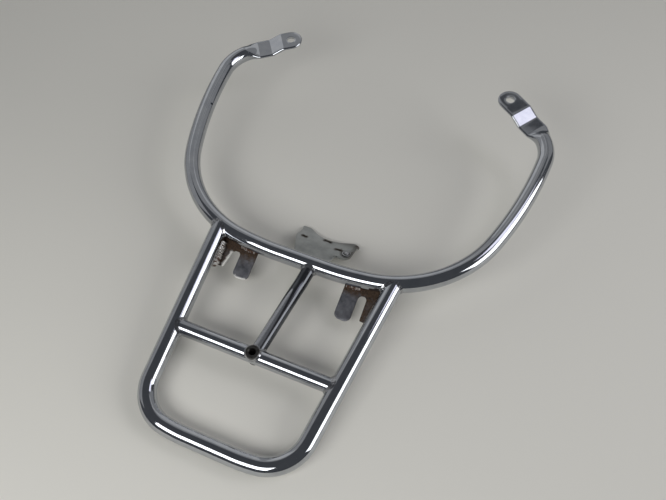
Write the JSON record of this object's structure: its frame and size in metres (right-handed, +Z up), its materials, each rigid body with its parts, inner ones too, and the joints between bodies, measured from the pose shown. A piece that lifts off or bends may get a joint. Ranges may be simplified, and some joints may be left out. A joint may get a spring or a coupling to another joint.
{
  "type": "motorcycle luggage rack",
  "caption": "Welded tube rack with a bent grab rail, two bolt tabs, a small rear carrier, a threaded bush, slotted plates and a sheet bracket.",
  "frame": {"origin": "on the axis of the threaded bush, in the plane of the tube centres", "axes": "+X towards the side of the right bolt tab, +Y forward to the bolt tabs, +Z up out of the top of the rack"},
  "size_m": [0.3674, 0.4481, 0.0484],
  "materials": {
    "chrome_tube": "polished chrome plate on steel tube, pitted in places",
    "dull_steel": "dull plated steel, dirty in the thread",
    "rusty_plate": "bare steel plate, brown rust with grey worn faces",
    "grey_sheet": "matte grey steel sheet, creased and stained",
    "rivet_steel": "satin steel, turned head",
    "weld_metal": "chromed over, smooth fillets",
    "rough_weld": "rough lumpy weld, silver on the crests and rusty between"
  },
  "bodies": {
    "root": {"grab_rail": "chrome_tube", "carrier_hoop": "chrome_tube", "crossbar": "chrome_tube", "centre_strut": "chrome_tube", "threaded_bush": "dull_steel", "slot_plate_left": "rusty_plate", "slot_plate_right": "rusty_plate", "centre_bracket": "grey_sheet", "bracket_rivet": "rivet_steel", "weld_hoop_left": "weld_metal", "weld_hoop_right": "weld_metal", "weld_crossbar_left": "weld_metal", "weld_crossbar_right": "weld_metal", "weld_bush": "weld_metal", "weld_strut_front": "weld_metal", "weld_plate_left": "rough_weld", "weld_plate_right": "rough_weld", "weld_bead_left": "rough_weld", "weld_bead_right": "rough_weld", "weld_bracket": "rough_weld"}
  },
  "joints": []
}
